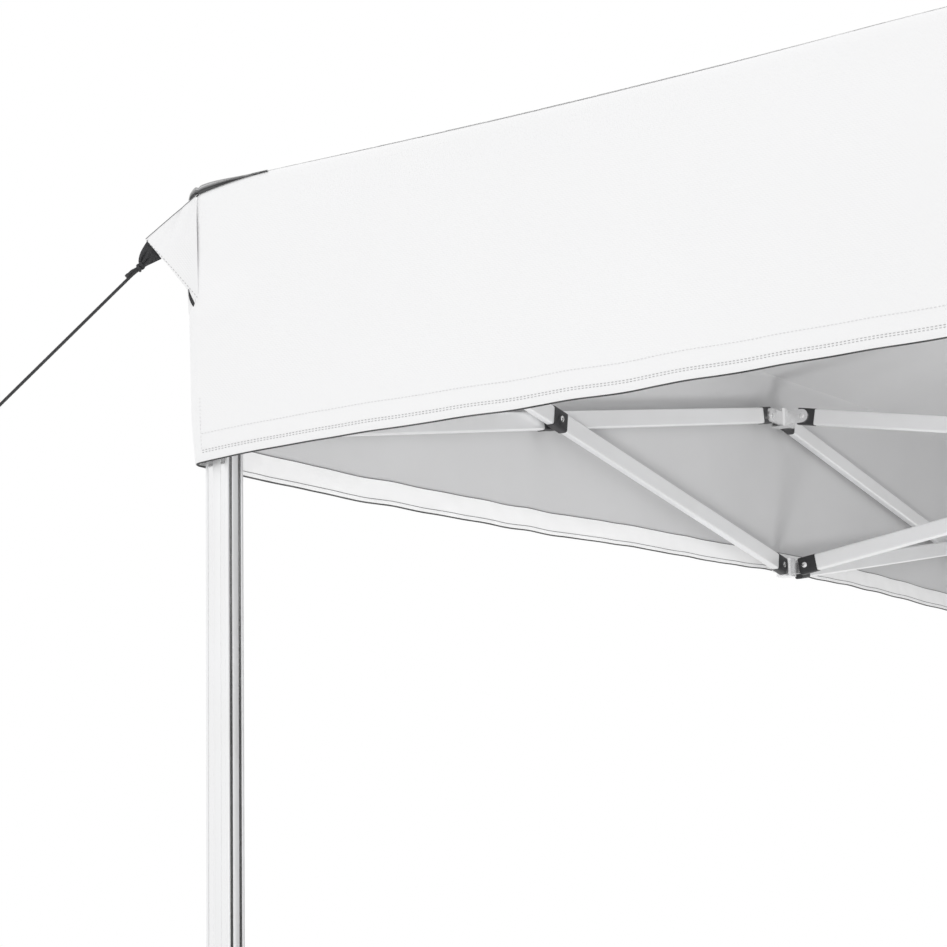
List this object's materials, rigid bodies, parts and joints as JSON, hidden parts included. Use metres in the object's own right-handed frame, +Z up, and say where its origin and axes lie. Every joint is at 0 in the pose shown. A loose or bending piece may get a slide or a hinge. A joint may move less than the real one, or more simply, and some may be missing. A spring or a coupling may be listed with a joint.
{
  "type": "pop up gazebo",
  "caption": "Square pop up gazebo with a white cloth roof on a folding aluminium scissor frame, with telescopic legs.",
  "frame": {"origin": "on the ground, at the centre of the four legs", "axes": "+Z up, the front faces -Y, and +X points right along the front"},
  "size_m": [3.2735, 3.2735, 2.76],
  "materials": {
    "cloth": "matte",
    "webbing": "matte",
    "rope": "matte",
    "black_plastic": "satin",
    "aluminium_tube": "satin",
    "aluminium_leg": "satin",
    "aluminium_bracket": "satin"
  },
  "bodies": {
    "upper_hub": {"upper_hub": "black_plastic", "mast_tube": "aluminium_tube", "canopy": "cloth", "corner_webbing": "webbing", "guy_rope": "rope", "rope_tensioner": "black_plastic"},
    "front_centre_rising_bar": {"front_centre_rising_bar": "aluminium_tube"},
    "front_centre_falling_bar": {"front_centre_falling_bar": "aluminium_tube"},
    "front_upper_mid_bracket": {"front_upper_mid_bracket": "aluminium_bracket"},
    "front_lower_mid_bracket": {"front_lower_mid_bracket": "aluminium_bracket"},
    "lower_hub": {"lower_hub": "black_plastic"},
    "front_truss_falling_bar_at_front_left": {"front_truss_falling_bar_at_front_left": "aluminium_tube"},
    "front_truss_rising_bar_at_front_left": {"front_truss_rising_bar_at_front_left": "aluminium_tube"},
    "front_left_outer_leg": {"front_left_outer_leg": "aluminium_leg"},
    "front_left_slider": {"front_left_slider": "black_plastic"},
    "front_truss_falling_bar_at_front_right": {"front_truss_falling_bar_at_front_right": "aluminium_tube"},
    "front_truss_rising_bar_at_front_right": {"front_truss_rising_bar_at_front_right": "aluminium_tube"},
    "front_right_outer_leg": {"front_right_outer_leg": "aluminium_leg"},
    "front_right_slider": {"front_right_slider": "black_plastic"},
    "left_centre_rising_bar": {"left_centre_rising_bar": "aluminium_tube"},
    "left_centre_falling_bar": {"left_centre_falling_bar": "aluminium_tube"},
    "left_upper_mid_bracket": {"left_upper_mid_bracket": "aluminium_bracket"},
    "left_lower_mid_bracket": {"left_lower_mid_bracket": "aluminium_bracket"},
    "left_truss_falling_bar_at_back_left": {"left_truss_falling_bar_at_back_left": "aluminium_tube"},
    "left_truss_rising_bar_at_back_left": {"left_truss_rising_bar_at_back_left": "aluminium_tube"},
    "left_truss_falling_bar_at_front_left": {"left_truss_falling_bar_at_front_left": "aluminium_tube"},
    "left_truss_rising_bar_at_front_left": {"left_truss_rising_bar_at_front_left": "aluminium_tube"},
    "back_centre_rising_bar": {"back_centre_rising_bar": "aluminium_tube"},
    "back_centre_falling_bar": {"back_centre_falling_bar": "aluminium_tube"},
    "back_upper_mid_bracket": {"back_upper_mid_bracket": "aluminium_bracket"},
    "back_lower_mid_bracket": {"back_lower_mid_bracket": "aluminium_bracket"},
    "back_truss_falling_bar_at_back_right": {"back_truss_falling_bar_at_back_right": "aluminium_tube"},
    "back_truss_rising_bar_at_back_right": {"back_truss_rising_bar_at_back_right": "aluminium_tube"},
    "back_right_outer_leg": {"back_right_outer_leg": "aluminium_leg"},
    "back_right_slider": {"back_right_slider": "black_plastic"},
    "back_truss_falling_bar_at_back_left": {"back_truss_falling_bar_at_back_left": "aluminium_tube"},
    "back_truss_rising_bar_at_back_left": {"back_truss_rising_bar_at_back_left": "aluminium_tube"},
    "back_left_outer_leg": {"back_left_outer_leg": "aluminium_leg"},
    "back_left_slider": {"back_left_slider": "black_plastic"},
    "right_centre_rising_bar": {"right_centre_rising_bar": "aluminium_tube"},
    "right_centre_falling_bar": {"right_centre_falling_bar": "aluminium_tube"},
    "right_upper_mid_bracket": {"right_upper_mid_bracket": "aluminium_bracket"},
    "right_lower_mid_bracket": {"right_lower_mid_bracket": "aluminium_bracket"},
    "right_truss_falling_bar_at_front_right": {"right_truss_falling_bar_at_front_right": "aluminium_tube"},
    "right_truss_rising_bar_at_front_right": {"right_truss_rising_bar_at_front_right": "aluminium_tube"},
    "right_truss_falling_bar_at_back_right": {"right_truss_falling_bar_at_back_right": "aluminium_tube"},
    "right_truss_rising_bar_at_back_right": {"right_truss_rising_bar_at_back_right": "aluminium_tube"},
    "mast_head": {"mast_head": "black_plastic"},
    "front_left_inner_leg": {"front_left_inner_leg": "aluminium_leg"},
    "front_left_slider_button": {"front_left_slider_button": "black_plastic"},
    "front_left_leg_button": {"front_left_leg_button": "black_plastic"},
    "back_left_inner_leg": {"back_left_inner_leg": "aluminium_leg"},
    "back_left_slider_button": {"back_left_slider_button": "black_plastic"},
    "back_left_leg_button": {"back_left_leg_button": "black_plastic"},
    "back_right_inner_leg": {"back_right_inner_leg": "aluminium_leg"},
    "back_right_slider_button": {"back_right_slider_button": "black_plastic"},
    "back_right_leg_button": {"back_right_leg_button": "black_plastic"},
    "front_right_inner_leg": {"front_right_inner_leg": "aluminium_leg"},
    "front_right_slider_button": {"front_right_slider_button": "black_plastic"},
    "front_right_leg_button": {"front_right_leg_button": "black_plastic"}
  },
  "joints": [
    {"name": "frame_fold", "type": "hinge", "parent": "upper_hub", "child": "front_centre_rising_bar", "pos_m": [0.008, -0.038, 2.22], "axis": [1, 0, 0], "range_deg": [0, 79]},
    {"name": "front_centre_crossing", "type": "hinge", "parent": "front_centre_rising_bar", "child": "front_centre_falling_bar", "pos_m": [0, -0.74, 2.1015], "axis": [-1, 0, 0], "range_deg": [0, 158]},
    {"name": "front_falling_bar_at_upper_mid", "type": "hinge", "parent": "front_centre_falling_bar", "child": "front_upper_mid_bracket", "pos_m": [-0.008, -1.442, 2.22], "axis": [1, 0, 0], "range_deg": [0, 79]},
    {"name": "front_rising_bar_at_lower_mid", "type": "hinge", "parent": "front_centre_rising_bar", "child": "front_lower_mid_bracket", "pos_m": [0.008, -1.442, 1.983], "axis": [-1, 0, 0], "range_deg": [0, 79]},
    {"name": "front_falling_bar_at_lower_hub", "type": "hinge", "parent": "front_centre_falling_bar", "child": "lower_hub", "pos_m": [-0.008, -0.038, 1.983], "axis": [1, 0, 0], "range_deg": [0, 79]},
    {"name": "front_lower_mid_hinge_to_front_left", "type": "hinge", "parent": "front_lower_mid_bracket", "child": "front_truss_falling_bar_at_front_left", "pos_m": [-0.038, -1.472, 1.983], "axis": [0, 1, 0], "range_deg": [0, 79]},
    {"name": "front_upper_mid_hinge_to_front_left", "type": "hinge", "parent": "front_upper_mid_bracket", "child": "front_truss_rising_bar_at_front_left", "pos_m": [-0.038, -1.488, 2.22], "axis": [0, -1, 0], "range_deg": [0, 79]},
    {"name": "front_left_leg_top_hinge", "type": "hinge", "parent": "front_truss_falling_bar_at_front_left", "child": "front_left_outer_leg", "pos_m": [-1.442, -1.472, 2.22], "axis": [0, -1, 0], "range_deg": [0, 79]},
    {"name": "front_left_slider_hinge", "type": "hinge", "parent": "front_truss_rising_bar_at_front_left", "child": "front_left_slider", "pos_m": [-1.442, -1.488, 1.983], "axis": [0, 1, 0], "range_deg": [0, 79]},
    {"name": "front_lower_mid_hinge_to_front_right", "type": "hinge", "parent": "front_lower_mid_bracket", "child": "front_truss_falling_bar_at_front_right", "pos_m": [0.038, -1.472, 1.983], "axis": [0, -1, 0], "range_deg": [0, 79]},
    {"name": "front_upper_mid_hinge_to_front_right", "type": "hinge", "parent": "front_upper_mid_bracket", "child": "front_truss_rising_bar_at_front_right", "pos_m": [0.038, -1.488, 2.22], "axis": [0, 1, 0], "range_deg": [0, 79]},
    {"name": "front_right_leg_top_hinge", "type": "hinge", "parent": "front_truss_falling_bar_at_front_right", "child": "front_right_outer_leg", "pos_m": [1.442, -1.472, 2.22], "axis": [0, 1, 0], "range_deg": [0, 79]},
    {"name": "front_right_slider_hinge", "type": "hinge", "parent": "front_truss_rising_bar_at_front_right", "child": "front_right_slider", "pos_m": [1.442, -1.488, 1.983], "axis": [0, -1, 0], "range_deg": [0, 79]},
    {"name": "left_rising_bar_at_upper_hub", "type": "hinge", "parent": "upper_hub", "child": "left_centre_rising_bar", "pos_m": [-0.038, -0.008, 2.22], "axis": [0, -1, 0], "range_deg": [0, 79]},
    {"name": "left_centre_crossing", "type": "hinge", "parent": "left_centre_rising_bar", "child": "left_centre_falling_bar", "pos_m": [-0.74, 0, 2.1015], "axis": [0, 1, 0], "range_deg": [0, 158]},
    {"name": "left_falling_bar_at_upper_mid", "type": "hinge", "parent": "left_centre_falling_bar", "child": "left_upper_mid_bracket", "pos_m": [-1.442, 0.008, 2.22], "axis": [0, -1, 0], "range_deg": [0, 79]},
    {"name": "left_rising_bar_at_lower_mid", "type": "hinge", "parent": "left_centre_rising_bar", "child": "left_lower_mid_bracket", "pos_m": [-1.442, -0.008, 1.983], "axis": [0, 1, 0], "range_deg": [0, 79]},
    {"name": "left_lower_mid_hinge_to_back_left", "type": "hinge", "parent": "left_lower_mid_bracket", "child": "left_truss_falling_bar_at_back_left", "pos_m": [-1.472, 0.038, 1.983], "axis": [1, 0, 0], "range_deg": [0, 79]},
    {"name": "left_upper_mid_hinge_to_back_left", "type": "hinge", "parent": "left_upper_mid_bracket", "child": "left_truss_rising_bar_at_back_left", "pos_m": [-1.488, 0.038, 2.22], "axis": [-1, 0, 0], "range_deg": [0, 79]},
    {"name": "left_lower_mid_hinge_to_front_left", "type": "hinge", "parent": "left_lower_mid_bracket", "child": "left_truss_falling_bar_at_front_left", "pos_m": [-1.472, -0.038, 1.983], "axis": [-1, 0, 0], "range_deg": [0, 79]},
    {"name": "left_upper_mid_hinge_to_front_left", "type": "hinge", "parent": "left_upper_mid_bracket", "child": "left_truss_rising_bar_at_front_left", "pos_m": [-1.488, -0.038, 2.22], "axis": [1, 0, 0], "range_deg": [0, 79]},
    {"name": "back_rising_bar_at_upper_hub", "type": "hinge", "parent": "upper_hub", "child": "back_centre_rising_bar", "pos_m": [-0.008, 0.038, 2.22], "axis": [-1, 0, 0], "range_deg": [0, 79]},
    {"name": "back_centre_crossing", "type": "hinge", "parent": "back_centre_rising_bar", "child": "back_centre_falling_bar", "pos_m": [0, 0.74, 2.1015], "axis": [1, 0, 0], "range_deg": [0, 158]},
    {"name": "back_falling_bar_at_upper_mid", "type": "hinge", "parent": "back_centre_falling_bar", "child": "back_upper_mid_bracket", "pos_m": [0.008, 1.442, 2.22], "axis": [-1, 0, 0], "range_deg": [0, 79]},
    {"name": "back_rising_bar_at_lower_mid", "type": "hinge", "parent": "back_centre_rising_bar", "child": "back_lower_mid_bracket", "pos_m": [-0.008, 1.442, 1.983], "axis": [1, 0, 0], "range_deg": [0, 79]},
    {"name": "back_lower_mid_hinge_to_back_right", "type": "hinge", "parent": "back_lower_mid_bracket", "child": "back_truss_falling_bar_at_back_right", "pos_m": [0.038, 1.472, 1.983], "axis": [0, -1, 0], "range_deg": [0, 79]},
    {"name": "back_upper_mid_hinge_to_back_right", "type": "hinge", "parent": "back_upper_mid_bracket", "child": "back_truss_rising_bar_at_back_right", "pos_m": [0.038, 1.488, 2.22], "axis": [0, 1, 0], "range_deg": [0, 79]},
    {"name": "back_right_leg_top_hinge", "type": "hinge", "parent": "back_truss_falling_bar_at_back_right", "child": "back_right_outer_leg", "pos_m": [1.442, 1.472, 2.22], "axis": [0, 1, 0], "range_deg": [0, 79]},
    {"name": "back_right_slider_hinge", "type": "hinge", "parent": "back_truss_rising_bar_at_back_right", "child": "back_right_slider", "pos_m": [1.442, 1.488, 1.983], "axis": [0, -1, 0], "range_deg": [0, 79]},
    {"name": "back_lower_mid_hinge_to_back_left", "type": "hinge", "parent": "back_lower_mid_bracket", "child": "back_truss_falling_bar_at_back_left", "pos_m": [-0.038, 1.472, 1.983], "axis": [0, 1, 0], "range_deg": [0, 79]},
    {"name": "back_upper_mid_hinge_to_back_left", "type": "hinge", "parent": "back_upper_mid_bracket", "child": "back_truss_rising_bar_at_back_left", "pos_m": [-0.038, 1.488, 2.22], "axis": [0, -1, 0], "range_deg": [0, 79]},
    {"name": "back_left_leg_top_hinge", "type": "hinge", "parent": "back_truss_falling_bar_at_back_left", "child": "back_left_outer_leg", "pos_m": [-1.442, 1.472, 2.22], "axis": [0, -1, 0], "range_deg": [0, 79]},
    {"name": "back_left_slider_hinge", "type": "hinge", "parent": "back_truss_rising_bar_at_back_left", "child": "back_left_slider", "pos_m": [-1.442, 1.488, 1.983], "axis": [0, 1, 0], "range_deg": [0, 79]},
    {"name": "right_rising_bar_at_upper_hub", "type": "hinge", "parent": "upper_hub", "child": "right_centre_rising_bar", "pos_m": [0.038, 0.008, 2.22], "axis": [0, 1, 0], "range_deg": [0, 79]},
    {"name": "right_centre_crossing", "type": "hinge", "parent": "right_centre_rising_bar", "child": "right_centre_falling_bar", "pos_m": [0.74, 0, 2.1015], "axis": [0, -1, 0], "range_deg": [0, 158]},
    {"name": "right_falling_bar_at_upper_mid", "type": "hinge", "parent": "right_centre_falling_bar", "child": "right_upper_mid_bracket", "pos_m": [1.442, -0.008, 2.22], "axis": [0, 1, 0], "range_deg": [0, 79]},
    {"name": "right_rising_bar_at_lower_mid", "type": "hinge", "parent": "right_centre_rising_bar", "child": "right_lower_mid_bracket", "pos_m": [1.442, 0.008, 1.983], "axis": [0, -1, 0], "range_deg": [0, 79]},
    {"name": "right_lower_mid_hinge_to_front_right", "type": "hinge", "parent": "right_lower_mid_bracket", "child": "right_truss_falling_bar_at_front_right", "pos_m": [1.472, -0.038, 1.983], "axis": [-1, 0, 0], "range_deg": [0, 79]},
    {"name": "right_upper_mid_hinge_to_front_right", "type": "hinge", "parent": "right_upper_mid_bracket", "child": "right_truss_rising_bar_at_front_right", "pos_m": [1.488, -0.038, 2.22], "axis": [1, 0, 0], "range_deg": [0, 79]},
    {"name": "right_lower_mid_hinge_to_back_right", "type": "hinge", "parent": "right_lower_mid_bracket", "child": "right_truss_falling_bar_at_back_right", "pos_m": [1.472, 0.038, 1.983], "axis": [1, 0, 0], "range_deg": [0, 79]},
    {"name": "right_upper_mid_hinge_to_back_right", "type": "hinge", "parent": "right_upper_mid_bracket", "child": "right_truss_rising_bar_at_back_right", "pos_m": [1.488, 0.038, 2.22], "axis": [-1, 0, 0], "range_deg": [0, 79]},
    {"name": "mast_head_spring", "type": "slide", "parent": "upper_hub", "child": "mast_head", "axis": [0, 0, -1], "range_m": [0, 0.045], "stiffness_N_per_m": 600, "springref_m": -0.02},
    {"name": "front_left_leg_height", "type": "slide", "parent": "front_left_outer_leg", "child": "front_left_inner_leg", "axis": [0, 0, 1], "range_m": [0, 0.6]},
    {"name": "front_left_slider_button_press", "type": "slide", "parent": "front_left_slider", "child": "front_left_slider_button", "axis": [-1, 0, 0], "range_m": [0, 0.0025], "stiffness_N_per_m": 800, "springref_m": -0.002},
    {"name": "front_left_leg_button_press", "type": "slide", "parent": "front_left_outer_leg", "child": "front_left_leg_button", "axis": [0, 1, 0], "range_m": [0, 0.003], "stiffness_N_per_m": 800, "springref_m": -0.002},
    {"name": "back_left_leg_height", "type": "slide", "parent": "back_left_outer_leg", "child": "back_left_inner_leg", "axis": [0, 0, 1], "range_m": [0, 0.6]},
    {"name": "back_left_slider_button_press", "type": "slide", "parent": "back_left_slider", "child": "back_left_slider_button", "axis": [0, 1, 0], "range_m": [0, 0.0025], "stiffness_N_per_m": 800, "springref_m": -0.002},
    {"name": "back_left_leg_button_press", "type": "slide", "parent": "back_left_outer_leg", "child": "back_left_leg_button", "axis": [1, 0, 0], "range_m": [0, 0.003], "stiffness_N_per_m": 800, "springref_m": -0.002},
    {"name": "back_right_leg_height", "type": "slide", "parent": "back_right_outer_leg", "child": "back_right_inner_leg", "axis": [0, 0, 1], "range_m": [0, 0.6]},
    {"name": "back_right_slider_button_press", "type": "slide", "parent": "back_right_slider", "child": "back_right_slider_button", "axis": [1, 0, 0], "range_m": [0, 0.0025], "stiffness_N_per_m": 800, "springref_m": -0.002},
    {"name": "back_right_leg_button_press", "type": "slide", "parent": "back_right_outer_leg", "child": "back_right_leg_button", "axis": [0, -1, 0], "range_m": [0, 0.003], "stiffness_N_per_m": 800, "springref_m": -0.002},
    {"name": "front_right_leg_height", "type": "slide", "parent": "front_right_outer_leg", "child": "front_right_inner_leg", "axis": [0, 0, 1], "range_m": [0, 0.6]},
    {"name": "front_right_slider_button_press", "type": "slide", "parent": "front_right_slider", "child": "front_right_slider_button", "axis": [0, -1, 0], "range_m": [0, 0.0025], "stiffness_N_per_m": 800, "springref_m": -0.002},
    {"name": "front_right_leg_button_press", "type": "slide", "parent": "front_right_outer_leg", "child": "front_right_leg_button", "axis": [-1, 0, 0], "range_m": [0, 0.003], "stiffness_N_per_m": 800, "springref_m": -0.002}
  ],
  "couplings": [
    {"joint": "front_centre_crossing", "follows": "frame_fold", "ratio": 2},
    {"joint": "front_falling_bar_at_upper_mid", "follows": "frame_fold", "ratio": 1},
    {"joint": "front_rising_bar_at_lower_mid", "follows": "frame_fold", "ratio": 1},
    {"joint": "front_falling_bar_at_lower_hub", "follows": "frame_fold", "ratio": 1},
    {"joint": "front_lower_mid_hinge_to_front_left", "follows": "frame_fold", "ratio": 1},
    {"joint": "front_upper_mid_hinge_to_front_left", "follows": "frame_fold", "ratio": 1},
    {"joint": "front_left_leg_top_hinge", "follows": "frame_fold", "ratio": 1},
    {"joint": "front_left_slider_hinge", "follows": "frame_fold", "ratio": 1},
    {"joint": "front_lower_mid_hinge_to_front_right", "follows": "frame_fold", "ratio": 1},
    {"joint": "front_upper_mid_hinge_to_front_right", "follows": "frame_fold", "ratio": 1},
    {"joint": "front_right_leg_top_hinge", "follows": "frame_fold", "ratio": 1},
    {"joint": "front_right_slider_hinge", "follows": "frame_fold", "ratio": 1},
    {"joint": "left_rising_bar_at_upper_hub", "follows": "frame_fold", "ratio": 1},
    {"joint": "left_centre_crossing", "follows": "frame_fold", "ratio": 2},
    {"joint": "left_falling_bar_at_upper_mid", "follows": "frame_fold", "ratio": 1},
    {"joint": "left_rising_bar_at_lower_mid", "follows": "frame_fold", "ratio": 1},
    {"joint": "left_lower_mid_hinge_to_back_left", "follows": "frame_fold", "ratio": 1},
    {"joint": "left_upper_mid_hinge_to_back_left", "follows": "frame_fold", "ratio": 1},
    {"joint": "left_lower_mid_hinge_to_front_left", "follows": "frame_fold", "ratio": 1},
    {"joint": "left_upper_mid_hinge_to_front_left", "follows": "frame_fold", "ratio": 1},
    {"joint": "back_rising_bar_at_upper_hub", "follows": "frame_fold", "ratio": 1},
    {"joint": "back_centre_crossing", "follows": "frame_fold", "ratio": 2},
    {"joint": "back_falling_bar_at_upper_mid", "follows": "frame_fold", "ratio": 1},
    {"joint": "back_rising_bar_at_lower_mid", "follows": "frame_fold", "ratio": 1},
    {"joint": "back_lower_mid_hinge_to_back_right", "follows": "frame_fold", "ratio": 1},
    {"joint": "back_upper_mid_hinge_to_back_right", "follows": "frame_fold", "ratio": 1},
    {"joint": "back_right_leg_top_hinge", "follows": "frame_fold", "ratio": 1},
    {"joint": "back_right_slider_hinge", "follows": "frame_fold", "ratio": 1},
    {"joint": "back_lower_mid_hinge_to_back_left", "follows": "frame_fold", "ratio": 1},
    {"joint": "back_upper_mid_hinge_to_back_left", "follows": "frame_fold", "ratio": 1},
    {"joint": "back_left_leg_top_hinge", "follows": "frame_fold", "ratio": 1},
    {"joint": "back_left_slider_hinge", "follows": "frame_fold", "ratio": 1},
    {"joint": "right_rising_bar_at_upper_hub", "follows": "frame_fold", "ratio": 1},
    {"joint": "right_centre_crossing", "follows": "frame_fold", "ratio": 2},
    {"joint": "right_falling_bar_at_upper_mid", "follows": "frame_fold", "ratio": 1},
    {"joint": "right_rising_bar_at_lower_mid", "follows": "frame_fold", "ratio": 1},
    {"joint": "right_lower_mid_hinge_to_front_right", "follows": "frame_fold", "ratio": 1},
    {"joint": "right_upper_mid_hinge_to_front_right", "follows": "frame_fold", "ratio": 1},
    {"joint": "right_lower_mid_hinge_to_back_right", "follows": "frame_fold", "ratio": 1},
    {"joint": "right_upper_mid_hinge_to_back_right", "follows": "frame_fold", "ratio": 1}
  ]
}
